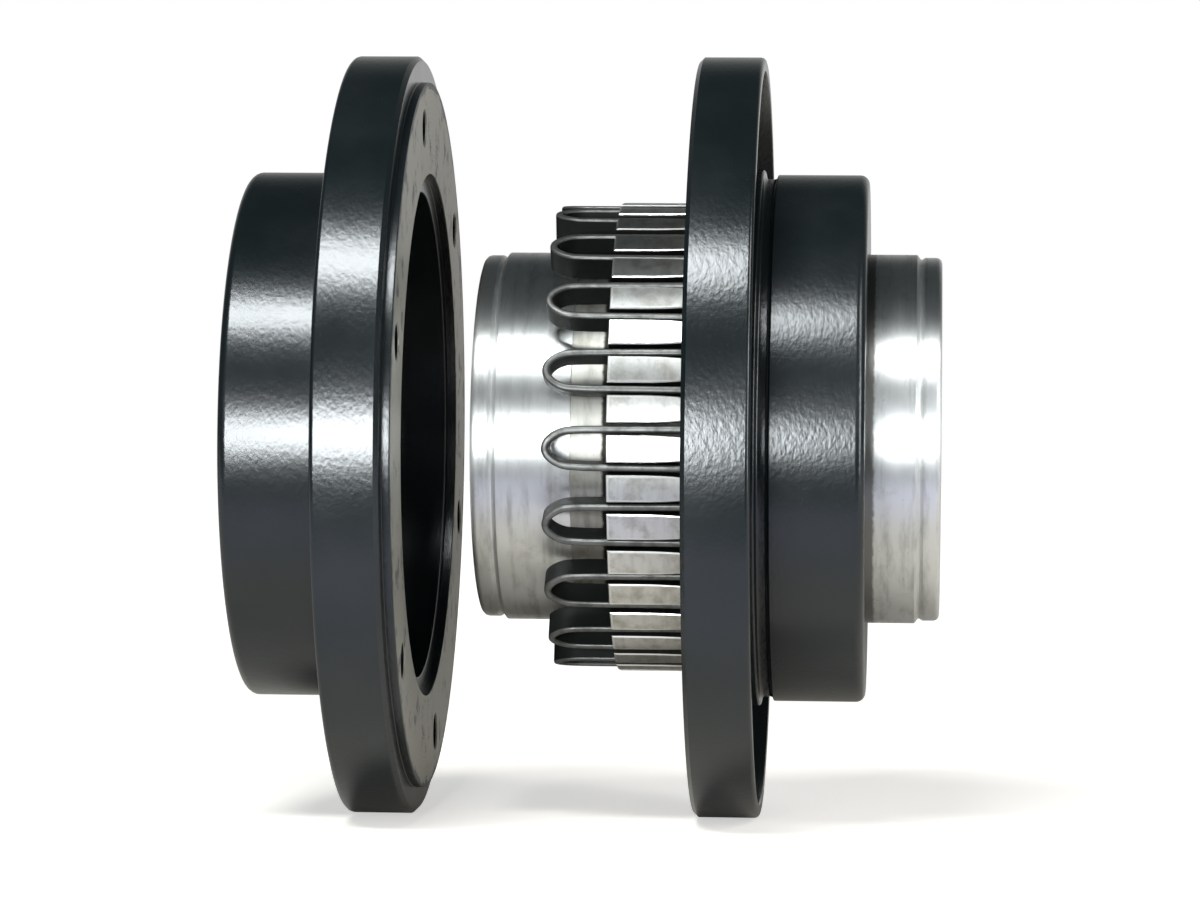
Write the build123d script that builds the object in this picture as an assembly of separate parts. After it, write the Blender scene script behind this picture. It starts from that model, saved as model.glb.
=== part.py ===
"""Elastic coupling: two slotted hubs joined by a serpentine spring, in a flanged cover split in two.

Millimetres. The shaft axis is X and Z is up. The origin is on the axis, half way along the
right hub's bore. Angles round the axis start at the front (-Y) and grow downwards, which is
a turn about +X. The right cover half is over its hub. The left half is pulled off its own.
"""
import os
from math import asin, cos, degrees, radians, sin

from build123d import *

# Hub: length, bore and key
hub_length = 55.5
hub_gap = 3.0
bore_diameter = 55.0
bore_chamfer = 1.0
key_width = 16.0
key_depth = 4.3

# Hub: boss outside its teeth
seal_land_diameter = 92.1
neck_length = 9.6
neck_relief = 0.45
hub_groove_from_end = 5.2
hub_groove_width = 2.0
hub_groove_depth = 1.3
end_step = 0.7
end_chamfer = 1.5

# Hub: tooth ring and its flared slots
tooth_length = 21.4
tooth_chamfer = 0.6
slot_count = 38
slot_straight = 8.0
slot_flare_radius = 120.0
slot_phase = -1.66

# Serpentine spring
strip_thickness = 1.8
strip_height = 7.0
strip_side_play = 0.6
strip_seat_gap = 0.3
strip_below_teeth = 0.85
leg_pinch = 0.2
bend_overhang = 13.4
bend_pinch = 0.36
bend_flank_rise = 3.1
bend_tip_inset = 1.5
bend_twist_length = 3.4
cut_end_overhang = 3.0

# Cover half: drum
drum_wall = 4.8
cavity_clearance = 2.35
drum_corner = 2.3
end_wall = 3.6
inner_corner = 1.6
hub_clearance = 0.45
spring_end_clearance = 1.2

# Cover half: lip seal and its collar
seal_groove_width = 4.2
seal_groove_depth = 2.75
seal_groove_from_end = 1.7
seal_collar_wall = 1.25
seal_collar_clearance = 0.3
seal_side_gap = 0.1
seal_lip_gap = 0.15
seal_lip_width = 1.6
seal_lip_depth = 1.2

# Cover half: flange, each step measured out from the one inside it
counterbore_step = 4.5
counterbore_depth = 2.4
shroud_collar_height = 1.2
bolt_beyond_collar = 11.25
register_beyond_bolts = 10.25
register_height = 2.1
register_clearance = 0.3
rim_step = 6.5
flange_width = 16.2
flange_front_chamfer = 0.5
flange_rear_chamfer = 1.2
bolt_hole_diameter = 9.0
bolt_count = 6
bolt_phase = -16.0

# Cover half: bolt recess behind the flange
rim_wall = 3.5
rim_draft = 0.7
web_rear = 7.0
recess_corner = 2.0
shroud_collar_edge = 0.6
relief_depth = 1.1
relief_width = 3.2

# Gasket
gasket_thickness = 0.5
gasket_edge_gap = 0.5
gasket_hole_diameter = 10.0

# Grease plugs, two in each drum on the far side
plug_diameter = 9.7
plug_end_inset = 0.1
plug_socket_across = 5.0
plug_socket_depth = 2.6
plug_seat_diameter = 13.0
plug_seat_depth = 0.5
plug_from_end = 11.0
plug_angles = (-100.0, 100.0)

# Set screws, over the keyways
set_screw_diameter = 8.0
set_screw_length = 10.0
set_screw_below_land = 1.0
set_screw_from_end = 10.5
set_screw_socket_across = 4.0
set_screw_socket_depth = 4.0

# Both kinds of socket screw
thread_gap = 0.05
screw_edge_chamfer = 0.5

# Where the pieces stand
right_cover_offset = -3.4
left_cover_pulled = 70.0
grid_offset = -2.3

# How far a cutter runs past the face that it starts or ends at
overshoot = 1.0
quarter_turn = 90.0

# Places along the axis that follow from the sizes above
gap_centre = -(hub_length + hub_gap) / 2
joint_x = gap_centre + right_cover_offset
grid_length = 2 * (tooth_length + bend_overhang) + hub_gap
grid_end = grid_length / 2 + grid_offset - right_cover_offset
cover_length = grid_end + spring_end_clearance + end_wall

# Radii that follow from the sizes above, outwards from the bore
bore_radius = bore_diameter / 2
land_radius = seal_land_diameter / 2
hub_hole_radius = land_radius + hub_clearance
seal_groove_radius = hub_hole_radius + seal_groove_depth
seal_collar_radius = seal_groove_radius + seal_collar_wall
strip_inner = seal_collar_radius + seal_collar_clearance
slot_floor = strip_inner - strip_seat_gap
strip_outer = strip_inner + strip_height
strip_middle = (strip_outer + strip_inner) / 2
tooth_radius = strip_outer + strip_below_teeth
cavity_radius = tooth_radius + cavity_clearance
drum_radius = cavity_radius + drum_wall
counterbore_radius = cavity_radius + counterbore_step
shroud_radius = drum_radius + shroud_collar_height
bolt_circle_radius = shroud_radius + bolt_beyond_collar
register_radius = bolt_circle_radius + register_beyond_bolts
flange_radius = register_radius + rim_step

# The slots and the spring's bends
slot_pitch = 360.0 / slot_count
slot_width = strip_thickness + 2 * strip_side_play
key_angle = slot_phase + slot_pitch * round((2 * quarter_turn - slot_phase) / slot_pitch)
bend_half_width = strip_outer * sin(radians(slot_pitch / 2)) - bend_pinch
bend_tip_radius = bend_half_width - bend_tip_inset
bend_flank_radius = bend_half_width + bend_flank_rise
bend_join_angle = asin(bend_flank_rise / (bend_flank_radius - bend_tip_radius))
bend_tip_shift = (bend_flank_radius - bend_tip_radius) * cos(bend_join_angle)
leg_end = (grid_length - strip_thickness) / 2 - bend_tip_radius - bend_tip_shift - bend_twist_length


def around(angle, shape):
    """Turn a shape about the shaft axis, from the front downwards."""
    return Rot(X=angle) * shape


def corner(face, x, r):
    """The corner of a section that lies at x along the axis and r from it."""
    return face.vertices().sort_by_distance((x, r, 0))[0]


def front_plane(x, radius):
    """A plane at the front that faces the viewer, on a point at x and radius."""
    return Plane((x, -radius, 0), x_dir=(1, 0, 0), z_dir=(0, -1, 0))


def radial_cylinder(diameter, inner, outer, x):
    """A round bar that stands out from the axis at the front, from one radius to another."""
    return extrude(front_plane(x, inner) * Circle(diameter / 2), outer - inner)


def hub_body():
    """The turned hub, from the gap face at x = 0 to its outer end."""
    neck = land_radius - neck_relief
    nose = land_radius - end_step
    land_start = tooth_length + neck_length
    groove = hub_length - hub_groove_from_end
    half = hub_groove_width / 2
    section = make_face(Polyline(
        (0, bore_radius),
        (0, tooth_radius),
        (tooth_length, tooth_radius),
        (tooth_length, neck),
        (land_start, neck),
        (land_start, land_radius),
        (groove - half, land_radius),
        (groove, land_radius - hub_groove_depth),
        (groove + half, nose),
        (hub_length, nose),
        (hub_length, bore_radius),
        close=True,
    ))
    section = chamfer(corner(section, tooth_length, tooth_radius), tooth_chamfer)
    section = chamfer(corner(section, hub_length, nose), end_chamfer)
    for x in (0, hub_length):
        section = chamfer(corner(section, x, bore_radius), bore_chamfer)
    return revolve(section, Axis.X)


def slot_cutter():
    """One tooth slot at the front: straight at the outer end, flared towards the gap."""
    half = slot_width / 2
    outer = tooth_length + overshoot
    bend = tooth_length - slot_straight
    inner = -overshoot
    sweep = asin((bend - inner) / slot_flare_radius)
    flare = half + slot_flare_radius * (1 - cos(sweep))
    middle = bend - slot_flare_radius * sin(sweep / 2)
    bulge = half + slot_flare_radius * (1 - cos(sweep / 2))
    outline = make_face([
        Line((inner, flare), (inner, -flare)),
        ThreePointArc((inner, -flare), (middle, -bulge), (bend, -half)),
        Line((bend, -half), (outer, -half)),
        Line((outer, -half), (outer, half)),
        Line((outer, half), (bend, half)),
        ThreePointArc((bend, half), (middle, bulge), (inner, flare)),
    ])
    return extrude(front_plane(0, slot_floor) * outline, tooth_radius - slot_floor + overshoot)


def keyway_cutter():
    """The key slot through the whole bore."""
    depth = bore_radius + key_depth
    length = hub_length + 2 * overshoot
    return Pos(hub_length / 2, -depth / 2, 0) * Box(length, depth, key_width)


def hub():
    """A whole hub, with its slots, keyway and set screw hole."""
    shape = hub_body()
    slot = slot_cutter()
    shape -= [around(slot_phase + k * slot_pitch, slot) for k in range(slot_count)]
    shape -= around(key_angle, keyway_cutter())
    x = hub_length - set_screw_from_end
    hole = radial_cylinder(set_screw_diameter, bore_radius, land_radius + overshoot, x)
    return shape - around(key_angle, hole)


def socket_screw(diameter, length, top, x, across, depth):
    """A headless screw at the front with a hexagon socket, its end at radius top."""
    body = radial_cylinder(diameter - 2 * thread_gap, top - length, top, x)
    body = chamfer(body.edges().group_by(Axis.Y)[0], screw_edge_chamfer)
    socket = RegularPolygon(across / 2, 6, major_radius=False)
    return body - extrude(front_plane(x, top) * socket, -depth)


def set_screw():
    """The grub screw that bears on the key."""
    screw = socket_screw(
        set_screw_diameter,
        set_screw_length,
        land_radius - set_screw_below_land,
        hub_length - set_screw_from_end,
        set_screw_socket_across,
        set_screw_socket_depth,
    )
    return around(key_angle, screw)


def bend_edge(offset):
    """One side of a bend's strip: a tip arc between two flank arcs that run out along X."""
    join = degrees(bend_join_angle)
    span = quarter_turn - join
    flank = bend_flank_radius + offset
    return [
        CenterArc((0, -bend_flank_rise), flank, join, span),
        CenterArc((bend_tip_shift, 0), bend_tip_radius + offset, -join, 2 * join),
        CenterArc((0, bend_flank_rise), flank, -quarter_turn, span),
    ]


def bend():
    """A bend at the front that opens towards -X, with its flanks' ends at x = 0."""
    half = strip_thickness / 2
    ends = [
        Line((0, side * (bend_half_width - half)), (0, side * (bend_half_width + half)))
        for side in (-1, 1)
    ]
    outline = make_face(bend_edge(half) + bend_edge(-half) + ends)
    return extrude(front_plane(0, strip_inner) * outline, strip_height)


def strip_section(x, z):
    """The strip's section at the front, across the axis at x and off to one side by z."""
    plane = Plane((x, -strip_middle, z), x_dir=(0, 1, 0), z_dir=(1, 0, 0))
    return plane * Rectangle(strip_height, strip_thickness)


def leg(side):
    """One straight leg at the front, slanted so that the bends at its ends are pinched."""
    shift = side * leg_pinch
    return loft([strip_section(-leg_end, -shift), strip_section(leg_end, shift)], ruled=True)


def twist(side):
    """The short twisted length between a right-hand bend and the leg on one side of it."""
    start = around(side * slot_pitch / 2, strip_section(leg_end, side * leg_pinch))
    finish = strip_section(leg_end + bend_twist_length, -side * bend_half_width)
    return loft([start, finish], ruled=True)


def right_bend():
    """A bend with both twisted lengths, on the right of the spring's middle."""
    return [Pos(leg_end + bend_twist_length, 0, 0) * bend(), twist(1), twist(-1)]


def grid_spring():
    """The whole spring: its legs, the bends on the left and on the right, and its two cut ends."""
    right = right_bend()
    left = [mirror(piece, about=Plane.YZ) for piece in right]
    pieces = []
    for k in range(slot_count):
        angle = slot_phase + k * slot_pitch
        pieces.append(around(angle, leg(-1 if k % 2 else 1)))
        if k + 1 < slot_count:
            turn = angle + slot_pitch / 2
            pieces += [around(turn, piece) for piece in (right if k % 2 else left)]
    tail = cut_end_overhang + tooth_length + hub_gap / 2 - grid_offset - leg_end
    for k, side in ((0, 1), (slot_count - 1, -1)):
        section = strip_section(leg_end, side * leg_pinch)
        pieces.append(around(slot_phase + k * slot_pitch, extrude(section, tail)))
    whole = pieces[0].fuse(*pieces[1:])
    return Pos(gap_centre + grid_offset, 0, 0) * whole


def cover_section(face, register):
    """Half section of a cover half, from its rim at x = 0 to the drum's end.

    The joint face inside the rim lies at x = face and reaches out to the register radius.
    """
    rim = flange_radius - rim_wall
    relief = drum_radius - relief_depth
    drum = flange_width + relief_width
    groove = cover_length - seal_groove_from_end
    collar = groove - seal_groove_width - seal_groove_from_end
    counterbore = face + counterbore_depth
    return make_face(Polyline(
        (0, flange_radius),
        (flange_width, flange_radius),
        (flange_width, rim),
        (web_rear, rim - rim_draft),
        (web_rear, shroud_radius),
        (flange_width, shroud_radius),
        (flange_width, relief),
        (drum, relief),
        (drum, drum_radius),
        (cover_length, drum_radius),
        (cover_length, hub_hole_radius),
        (groove, hub_hole_radius),
        (groove, seal_groove_radius),
        (groove - seal_groove_width, seal_groove_radius),
        (groove - seal_groove_width, hub_hole_radius),
        (collar, hub_hole_radius),
        (collar, seal_collar_radius),
        (cover_length - end_wall, seal_collar_radius),
        (cover_length - end_wall, cavity_radius),
        (counterbore, cavity_radius),
        (counterbore, counterbore_radius),
        (face, counterbore_radius),
        (face, register),
        (0, register),
        close=True,
    ))


def cover(face, register):
    """A cover half with its joint at x = 0 and its drum towards +X."""
    section = cover_section(face, register)
    for x, r, cut in (
        (0, flange_radius, flange_front_chamfer),
        (flange_width, flange_radius, flange_rear_chamfer),
        (flange_width, shroud_radius, shroud_collar_edge),
        (web_rear, flange_radius - rim_wall - rim_draft, recess_corner),
        (web_rear, shroud_radius, recess_corner),
        (cover_length - end_wall, cavity_radius, inner_corner),
    ):
        section = chamfer(corner(section, x, r), cut)
    section = fillet(corner(section, cover_length, drum_radius), drum_corner)
    shape = revolve(section, Axis.X)
    shape -= bolt_holes(bolt_hole_diameter, face - overshoot, web_rear + overshoot)
    x = cover_length - plug_from_end
    seat = drum_radius - plug_seat_depth
    for angle in plug_angles:
        hole = radial_cylinder(plug_diameter, cavity_radius - overshoot, drum_radius, x)
        spot_face = radial_cylinder(plug_seat_diameter, seat, drum_radius + overshoot, x)
        shape -= [around(angle, hole), around(angle, spot_face)]
    return shape


def bolt_holes(diameter, start, end):
    """The ring of bolt holes, from one place along the axis to another."""
    bar = Pos((start + end) / 2, -bolt_circle_radius, 0) * Rot(Y=quarter_turn)
    bar = bar * Cylinder(diameter / 2, end - start)
    step = 360.0 / bolt_count
    return [around(bolt_phase + k * step, bar) for k in range(bolt_count)]


def seal():
    """The lip seal in its groove: a block with a bevelled lip that faces the hub."""
    half = seal_groove_width / 2 - seal_side_gap
    outer = seal_groove_radius - seal_side_gap
    lip = land_radius + seal_lip_gap
    shoulder = lip + seal_lip_depth
    middle = cover_length - seal_groove_from_end - seal_groove_width / 2
    section = make_face(Polyline(
        (middle - half, outer),
        (middle + half, outer),
        (middle + half, shoulder),
        (middle + seal_lip_width / 2, lip),
        (middle - seal_lip_width / 2, lip),
        (middle - half, shoulder),
        close=True,
    ))
    return revolve(section, Axis.X)


def gasket(face):
    """The paper gasket that lies in the right half's joint recess, on its floor."""
    outer = register_radius + register_clearance - gasket_edge_gap
    inner = counterbore_radius + gasket_edge_gap
    base = Plane((face - gasket_thickness, 0, 0), x_dir=(0, 1, 0), z_dir=(1, 0, 0))
    disc = extrude(base * (Circle(outer) - Circle(inner)), gasket_thickness)
    start = face - gasket_thickness - overshoot
    return disc - bolt_holes(gasket_hole_diameter, start, face + overshoot)


def plugs():
    """A cover half's grease plugs, in place."""
    plug = socket_screw(
        plug_diameter,
        drum_wall - plug_seat_depth - plug_end_inset,
        drum_radius - plug_seat_depth,
        cover_length - plug_from_end,
        plug_socket_across,
        plug_socket_depth,
    )
    return Compound([around(angle, plug) for angle in plug_angles])


def on_right(shape, start):
    """Place a shape modelled towards +X, with its x = 0 at start."""
    return Pos(start, 0, 0) * shape


def on_left(shape, start):
    """Place the mirror image of a shape modelled towards +X, with its x = 0 at start."""
    return Pos(start, 0, 0) * mirror(shape, about=Plane.YZ)


def build():
    """Every piece of the coupling, by name."""
    left_cover = cover(-register_height, register_radius)
    right_face = register_height + gasket_thickness
    right_cover = cover(right_face, register_radius + register_clearance)
    one_hub, one_screw, one_seal, plug_pair = hub(), set_screw(), seal(), plugs()
    left_joint = joint_x - left_cover_pulled
    pieces = {
        "grid_spring": grid_spring(),
        "gasket": on_right(gasket(right_face), joint_x),
    }
    for side, place, hub_start, cover_start, cover_half in (
        ("right", on_right, gap_centre + hub_gap / 2, joint_x, right_cover),
        ("left", on_left, gap_centre - hub_gap / 2, left_joint, left_cover),
    ):
        pieces[f"hub_{side}"] = place(one_hub, hub_start)
        pieces[f"set_screw_{side}"] = place(one_screw, hub_start)
        pieces[f"cover_{side}"] = place(cover_half, cover_start)
        pieces[f"seal_{side}"] = place(one_seal, cover_start)
        pieces[f"grease_plugs_{side}"] = place(plug_pair, cover_start)
    return pieces


os.makedirs("parts", exist_ok=True)
for name, piece in build().items():
    export_step(piece, f"parts/{name}.step")
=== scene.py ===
"""Looks of the elastic coupling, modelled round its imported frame.

The scene is in metres and the sizes below are in millimetres. The shaft axis is X and the front is
-Y. Angles round the axis start at the front and grow downwards, as in the part's source.
"""
import logging
from dataclasses import dataclass, replace
from enum import Enum
from math import asin, cos, pi, radians, sin, sqrt
from typing import Callable, Iterable, Optional, Sequence, Union

import bmesh
import bpy
from mathutils import Matrix, Vector


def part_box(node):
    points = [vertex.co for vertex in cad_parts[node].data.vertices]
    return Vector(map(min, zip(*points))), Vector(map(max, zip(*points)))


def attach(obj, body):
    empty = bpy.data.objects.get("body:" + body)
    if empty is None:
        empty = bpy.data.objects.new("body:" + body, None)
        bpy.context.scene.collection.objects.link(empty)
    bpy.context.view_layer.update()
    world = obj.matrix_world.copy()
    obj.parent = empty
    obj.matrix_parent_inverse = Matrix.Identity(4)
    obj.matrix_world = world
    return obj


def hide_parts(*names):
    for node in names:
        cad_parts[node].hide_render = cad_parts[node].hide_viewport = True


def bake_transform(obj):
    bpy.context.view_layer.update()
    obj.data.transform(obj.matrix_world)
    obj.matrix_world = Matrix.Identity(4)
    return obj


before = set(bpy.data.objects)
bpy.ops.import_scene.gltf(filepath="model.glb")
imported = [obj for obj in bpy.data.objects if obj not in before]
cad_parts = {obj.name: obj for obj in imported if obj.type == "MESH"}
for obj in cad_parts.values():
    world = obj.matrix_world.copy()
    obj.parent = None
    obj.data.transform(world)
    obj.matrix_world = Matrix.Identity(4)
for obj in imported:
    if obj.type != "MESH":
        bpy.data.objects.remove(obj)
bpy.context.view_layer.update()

log = logging.getLogger("coupling")

MM = 0.001
# what counts as one vertex, in metres
MERGE = 1e-6
# how far a cutter runs past the face that it cuts, in millimetres
PAST = 1.0
# steps round the small turned pieces
FINE_STEPS = 48

Colour = tuple[float, float, float]
Place = tuple[float, float, float]
FaceTest = Callable[[Vector, Vector], bool]
Dressing = tuple[bpy.types.Material, Optional[FaceTest]]


class Side(Enum):
    """Which half of the coupling a piece belongs to, as its direction along the shaft."""

    LEFT = -1
    RIGHT = 1

    @property
    def word(self) -> str:
        """The side's name in lower case."""
        return self.name.lower()


# Mesh work


@dataclass(frozen=True)
class Corner:
    """A corner of a turned profile, in millimetres: one segment gives a chamfer, more a round."""

    x: float
    r: float
    cut: float = 0.0
    segments: int = 3


def pick_only(*objects: bpy.types.Object) -> None:
    """Select these objects and nothing else, with the first one active.

    Args:
        objects: the objects to select.
    """
    bpy.ops.object.select_all(action="DESELECT")
    for piece in objects:
        piece.select_set(True)
    bpy.context.view_layer.objects.active = objects[0]


def edit(piece: bpy.types.Object) -> None:
    """Go into edit mode on one piece, with its whole mesh selected.

    Args:
        piece: the piece to edit.
    """
    pick_only(piece)
    bpy.ops.object.mode_set(mode="EDIT")
    bpy.ops.mesh.select_all(action="SELECT")


def leave_edit() -> None:
    """Go back to object mode."""
    bpy.ops.object.mode_set(mode="OBJECT")


def settle() -> None:
    """Apply the place, turn and scale of what is selected."""
    bpy.ops.object.transform_apply(location=True, rotation=True, scale=True)


def merge_all() -> None:
    """Select the whole mesh in edit mode and merge its doubles."""
    bpy.ops.mesh.select_all(action="SELECT")
    bpy.ops.mesh.remove_doubles(threshold=MERGE)


def close_shell() -> None:
    """Merge doubles all over the mesh in edit mode and turn its faces outwards."""
    merge_all()
    bpy.ops.mesh.normals_make_consistent(inside=False)


def start_wire(name: str, place: Place) -> bpy.types.Object:
    """Start a wire from a small plane that is merged to one vertex, and stay in edit mode.

    Args:
        name: the new piece's name.
        place: where the wire starts, in millimetres.

    Returns:
        The new object.
    """
    bpy.ops.object.select_all(action="DESELECT")
    bpy.ops.mesh.primitive_plane_add(size=MM, location=[c * MM for c in place])
    piece = bpy.context.object
    piece.name = piece.data.name = name
    settle()
    edit(piece)
    bpy.ops.mesh.merge(type="CENTER")
    return piece


def run_wire(places: Sequence[Place]) -> None:
    """Extrude the wire's end vertex from the first place through all the others.

    Args:
        places: the points of the run, in millimetres, from where the wire ends now.
    """
    for here, there in zip(places, places[1:]):
        step = [(b - a) * MM for a, b in zip(here, there)]
        bpy.ops.mesh.extrude_vertices_move(TRANSFORM_OT_translate={"value": step})


def select_vertices(piece: bpy.types.Object, test: Callable[[Vector], bool]) -> None:
    """Select the vertices whose place, in millimetres, passes a test, in edit mode.

    Args:
        piece: the piece in edit mode.
        test: says whether a vertex at a place is selected.
    """
    bpy.ops.mesh.select_mode(type="VERT")
    mesh = bmesh.from_edit_mesh(piece.data)
    for vertex in mesh.verts:
        vertex.select_set(test(vertex.co / MM))
    mesh.select_flush_mode()
    bmesh.update_edit_mesh(piece.data)


def near(places: Sequence[Place]) -> Callable[[Vector], bool]:
    """A test for vertices that stand at one of these places, in millimetres.

    Args:
        places: the points to compare with.

    Returns:
        The test.
    """
    points = [Vector(p) for p in places]
    return lambda co: any((co - p).length < 1e-3 for p in points)


def apply_modifier(piece: bpy.types.Object, kind: str, **settings: object) -> None:
    """Add a modifier to a piece and apply it.

    Args:
        piece: the piece to change.
        kind: the modifier's type.
        settings: the modifier's properties.
    """
    modifier = piece.modifiers.new(kind.lower(), kind)
    for key, value in settings.items():
        setattr(modifier, key, value)
    pick_only(piece)
    bpy.ops.object.modifier_apply(modifier=modifier.name)


def turned(
    name: str, corners: Sequence[Corner], steps: int, closed: bool = True
) -> bpy.types.Object:
    """Turn a profile about the shaft axis.

    Args:
        name: the new piece's name.
        corners: the profile's corners in order.
        steps: how many steps the turn has.
        closed: whether the profile runs back to its start, or else ends on the axis.

    Returns:
        The turned piece, a closed shell.
    """
    places = [(c.x, -c.r, 0.0) for c in corners]
    piece = start_wire(name, places[0])
    run_wire(places + places[:1] if closed else places)
    merge_all()
    for cut, segments in sorted({(c.cut, c.segments) for c in corners if c.cut}):
        marked = [p for p, c in zip(places, corners) if (c.cut, c.segments) == (cut, segments)]
        select_vertices(piece, near(marked))
        bpy.ops.mesh.bevel(
            offset_type="OFFSET",
            offset=cut * MM,
            segments=segments,
            affect="VERTICES",
            clamp_overlap=False,
        )
    bpy.ops.mesh.select_all(action="SELECT")
    bpy.ops.mesh.spin(steps=steps, angle=2 * pi, center=(0, 0, 0), axis=(1, 0, 0))
    close_shell()
    leave_edit()
    return piece


def ring_of(piece: bpy.types.Object, angles: Iterable[float]) -> bpy.types.Object:
    """Copy a piece round the shaft axis and join the copies, which take its place.

    Args:
        piece: the piece at the front, which is used up.
        angles: where the copies go, in degrees from the front.

    Returns:
        The joined copies as one object.
    """
    copies = []
    for angle in angles:
        copy = piece.copy()
        copy.data = piece.data.copy()
        copy.rotation_euler = (radians(angle), 0, 0)
        bpy.context.scene.collection.objects.link(copy)
        copies.append(copy)
    name = piece.name
    bpy.data.objects.remove(piece)
    pick_only(*copies)
    settle()
    if len(copies) > 1:
        bpy.ops.object.join()
    copies[0].name = copies[0].data.name = name
    return copies[0]


def joined(pieces: Sequence[bpy.types.Object]) -> bpy.types.Object:
    """Join pieces into the first one.

    Args:
        pieces: the objects to join.

    Returns:
        The first object, which holds them all.
    """
    pick_only(*pieces)
    bpy.ops.object.join()
    return pieces[0]


def cut_out(piece: bpy.types.Object, *cutters: bpy.types.Object) -> None:
    """Cut cutters out of a piece and remove them.

    Args:
        piece: the piece to cut.
        cutters: closed shells, one after the other.
    """
    for cutter in cutters:
        apply_modifier(piece, "BOOLEAN", operation="DIFFERENCE", solver="EXACT", object=cutter)
        bpy.data.objects.remove(cutter)


def smooth(piece: bpy.types.Object, angle: float = 32.0) -> None:
    """Shade a finished mesh smooth up to an angle, with broad faces kept flat.

    Args:
        piece: the piece to shade.
        angle: the sharpest edge that is still smooth, in degrees.
    """
    pick_only(piece)
    bpy.ops.object.shade_smooth_by_angle(angle=radians(angle))
    apply_modifier(piece, "WEIGHTED_NORMAL", keep_sharp=True, weight=50)


def stand_radially(piece: bpy.types.Object, x: float) -> None:
    """Stand a piece that was turned about X up along -Y, at the front, at x in millimetres.

    Args:
        piece: the turned piece.
        x: where it stands along the shaft.
    """
    piece.rotation_euler = (0, 0, -pi / 2)
    piece.location = (x * MM, 0, 0)
    pick_only(piece)
    settle()


def prism(name: str, sides: int, across: float, low: float, high: float) -> bpy.types.Object:
    """A straight bar of regular section along X.

    Args:
        name: the new object's name.
        sides: the section's number of sides.
        across: the distance over two opposite corners.
        low: where the bar starts.
        high: where it ends.

    Returns:
        The bar.
    """
    bpy.ops.object.select_all(action="DESELECT")
    bpy.ops.mesh.primitive_cylinder_add(
        vertices=sides,
        radius=across / 2 * MM,
        depth=(high - low) * MM,
        location=((low + high) / 2 * MM, 0, 0),
        rotation=(0, pi / 2, 0),
    )
    bar = bpy.context.object
    bar.name = name
    settle()
    return bar


def assign(piece: bpy.types.Object, *dressing: Dressing) -> None:
    """Give a piece its materials.

    Args:
        piece: the piece to dress.
        dressing: pairs of a material and a test of a face's place, in millimetres, and normal. The
            first pair's material covers all that no later test picks.
    """
    piece.data.materials.clear()
    for material, _ in dressing:
        piece.data.materials.append(material)
    for face in piece.data.polygons:
        face.material_index = 0
        for index, (_, test) in enumerate(dressing[1:], start=1):
            if test(face.center / MM, face.normal):
                face.material_index = index


def spread(count: int, first: float) -> list[float]:
    """Angles all round, in degrees, from the first one."""
    return [first + k * 360 / count for k in range(count)]


def from_axis(place: Vector) -> float:
    """How far a place is from the shaft axis."""
    return sqrt(place.y**2 + place.z**2)


# Shader work


class Value:
    """A shader socket that Python's own operators work on."""

    def __init__(self, graph: "Graph", socket: bpy.types.NodeSocket) -> None:
        """Wrap a socket of a graph."""
        self.graph = graph
        self.socket = socket

    def _math(self, operation: str, *others: Union["Value", float], first: bool = True) -> "Value":
        """Add a Math node.

        Args:
            operation: the node's operation.
            others: its other values.
            first: whether this value comes before the others.

        Returns:
            The node's result.
        """
        values = [self, *others] if first else [*others, self]
        settings = {"operation": operation}
        return self.graph.out("ShaderNodeMath", 0, settings, dict(enumerate(values)))

    def __add__(self, other: Union["Value", float]) -> "Value":
        """Add."""
        return self._math("ADD", other)

    __radd__ = __add__

    def __sub__(self, other: Union["Value", float]) -> "Value":
        """Subtract."""
        return self._math("SUBTRACT", other)

    def __rsub__(self, other: float) -> "Value":
        """Subtract this value from a number."""
        return self._math("SUBTRACT", other, first=False)

    def __mul__(self, other: Union["Value", float]) -> "Value":
        """Multiply."""
        return self._math("MULTIPLY", other)

    __rmul__ = __mul__

    def around(self, other: "Value") -> "Value":
        """The angle, in radians, with this value for its sine and the other for its cosine."""
        return self._math("ARCTAN2", other)

    def zigzag(self, reach: float) -> "Value":
        """A zigzag that rises from 0 to reach and falls back, over and over."""
        return self._math("PINGPONG", reach)

    def lesser(self, other: "Value") -> "Value":
        """The smaller of two values."""
        return self._math("MINIMUM", other)

    def __pow__(self, other: float) -> "Value":
        """Raise to a power."""
        return self._math("POWER", other)

    def ramp(self, low: float, high: float) -> "Value":
        """A smooth rise from 0 where this value is low to 1 where it is high.

        Args:
            low: where the rise starts.
            high: where it ends.

        Returns:
            The rise, from 0 to 1.
        """
        ends = {1: low, 2: high, 3: 0.0, 4: 1.0}
        settings = {"interpolation_type": "SMOOTHSTEP"}
        return self.graph.out("ShaderNodeMapRange", 0, settings, {0: self, **ends})


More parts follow.
